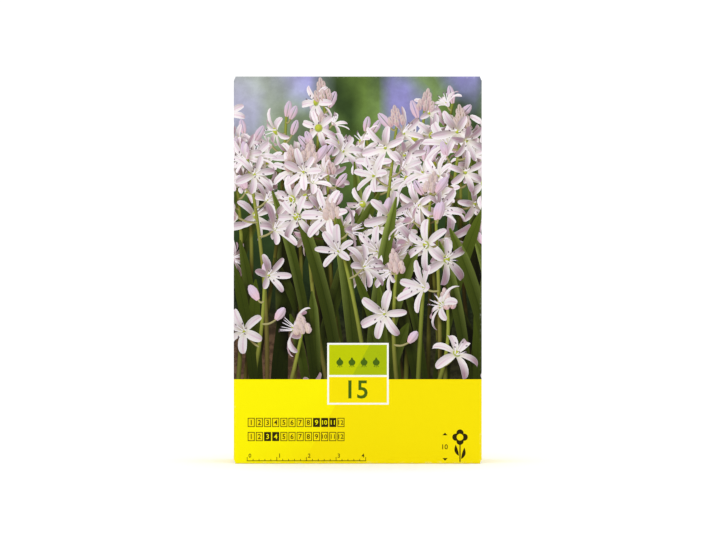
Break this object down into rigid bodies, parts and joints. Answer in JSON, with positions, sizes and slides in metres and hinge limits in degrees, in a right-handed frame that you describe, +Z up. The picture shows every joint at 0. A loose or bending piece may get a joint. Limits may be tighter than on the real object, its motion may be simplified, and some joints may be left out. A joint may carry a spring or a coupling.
{
  "type": "flower bulb carton",
  "caption": "Sealed upright folding carton with printed panels and air holes in its narrow sides, holding loose flower bulbs for planting.",
  "frame": {"origin": "middle of the carton's base, on the face that it stands on", "axes": "+Z up along the carton's height, -Y out of its printed front, +X to the right as the front is seen"},
  "size_m": [0.09, 0.03, 0.14],
  "materials": {
    "printed_board": "varnished print on white-lined board",
    "bulb_tunic": "dry papery brown skin"
  },
  "bodies": {
    "root": {"carton": "printed_board", "bulb_01": "bulb_tunic", "bulb_02": "bulb_tunic", "bulb_03": "bulb_tunic", "bulb_04": "bulb_tunic", "bulb_05": "bulb_tunic", "bulb_06": "bulb_tunic", "bulb_07": "bulb_tunic", "bulb_08": "bulb_tunic", "bulb_09": "bulb_tunic", "bulb_10": "bulb_tunic", "bulb_11": "bulb_tunic", "bulb_12": "bulb_tunic", "bulb_13": "bulb_tunic", "bulb_14": "bulb_tunic", "bulb_15": "bulb_tunic"}
  },
  "joints": []
}
